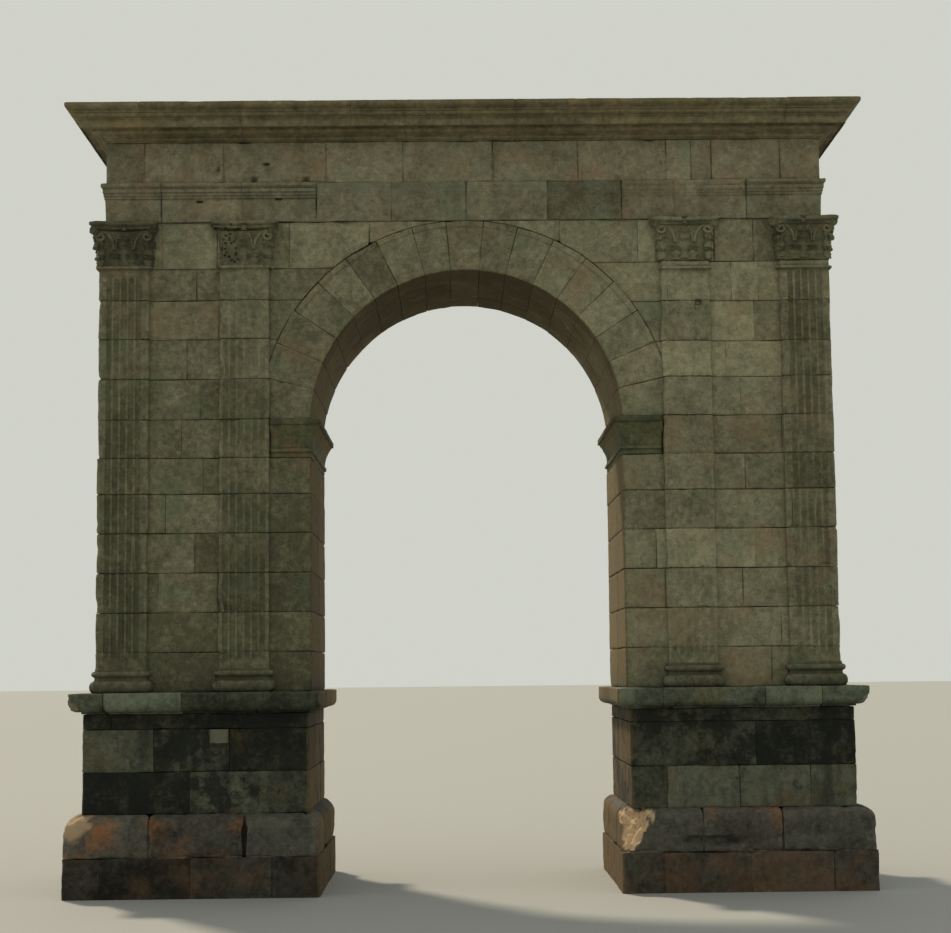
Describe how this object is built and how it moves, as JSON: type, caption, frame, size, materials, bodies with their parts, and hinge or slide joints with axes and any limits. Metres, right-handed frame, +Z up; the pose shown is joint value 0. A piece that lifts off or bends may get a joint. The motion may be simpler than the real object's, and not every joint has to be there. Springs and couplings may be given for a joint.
{
  "type": "triumphal arch",
  "caption": "Single-bay Roman road arch of squared limestone: pedestals, fluted Corinthian pilasters, a round arch of wedge stones and a full entablature with a deep cornice.",
  "frame": {"origin": "middle of the footprint, at the level of the footings' undersides", "axes": "+X along the front, to the right as seen from the road in front; +Y from the front face to the back; +Z up"},
  "size_m": [11.976, 3.996, 11.769],
  "materials": {
    "wall_stone": "weathered limestone, dry-laid, with worn arrises and patches of lichen",
    "carved_stone": "weathered carved limestone",
    "entablature_stone": "weathered limestone with moulded edges",
    "pedestal_stone": "limestone blackened by rain wash and soot",
    "plinth_stone": "weathered limestone with reddish and orange patches"
  },
  "bodies": {
    "root": {"architrave": "entablature_stone", "base_corner_back_left": "carved_stone", "base_corner_back_right": "carved_stone", "base_corner_front_left": "carved_stone", "base_corner_front_right": "carved_stone", "base_inner_back_left": "carved_stone", "base_inner_back_right": "carved_stone", "base_inner_front_left": "carved_stone", "base_inner_front_right": "carved_stone", "capital_corner_back_left": "carved_stone", "capital_corner_back_right": "carved_stone", "capital_corner_front_left": "carved_stone", "capital_corner_front_right": "carved_stone", "capital_inner_back_left": "carved_stone", "capital_inner_back_right": "carved_stone", "capital_inner_front_left": "carved_stone", "capital_inner_front_right": "carved_stone", "cornice": "entablature_stone", "dado_left": "pedestal_stone", "dado_right": "pedestal_stone", "footing_left": "plinth_stone", "footing_right": "plinth_stone", "frieze": "entablature_stone", "impost_left": "carved_stone", "impost_right": "carved_stone", "keystone": "wall_stone", "pedestal_cap_left": "pedestal_stone", "pedestal_cap_right": "pedestal_stone", "pier_left": "wall_stone", "pier_right": "wall_stone", "plinth_left": "plinth_stone", "plinth_right": "plinth_stone", "shaft_corner_back_left": "wall_stone", "shaft_corner_back_right": "wall_stone", "shaft_corner_front_left": "wall_stone", "shaft_corner_front_right": "wall_stone", "shaft_inner_back_left": "wall_stone", "shaft_inner_back_right": "wall_stone", "shaft_inner_front_left": "wall_stone", "shaft_inner_front_right": "wall_stone", "spandrel_left": "wall_stone", "spandrel_right": "wall_stone", "voussoirs_left": "wall_stone", "voussoirs_right": "wall_stone"}
  },
  "joints": []
}
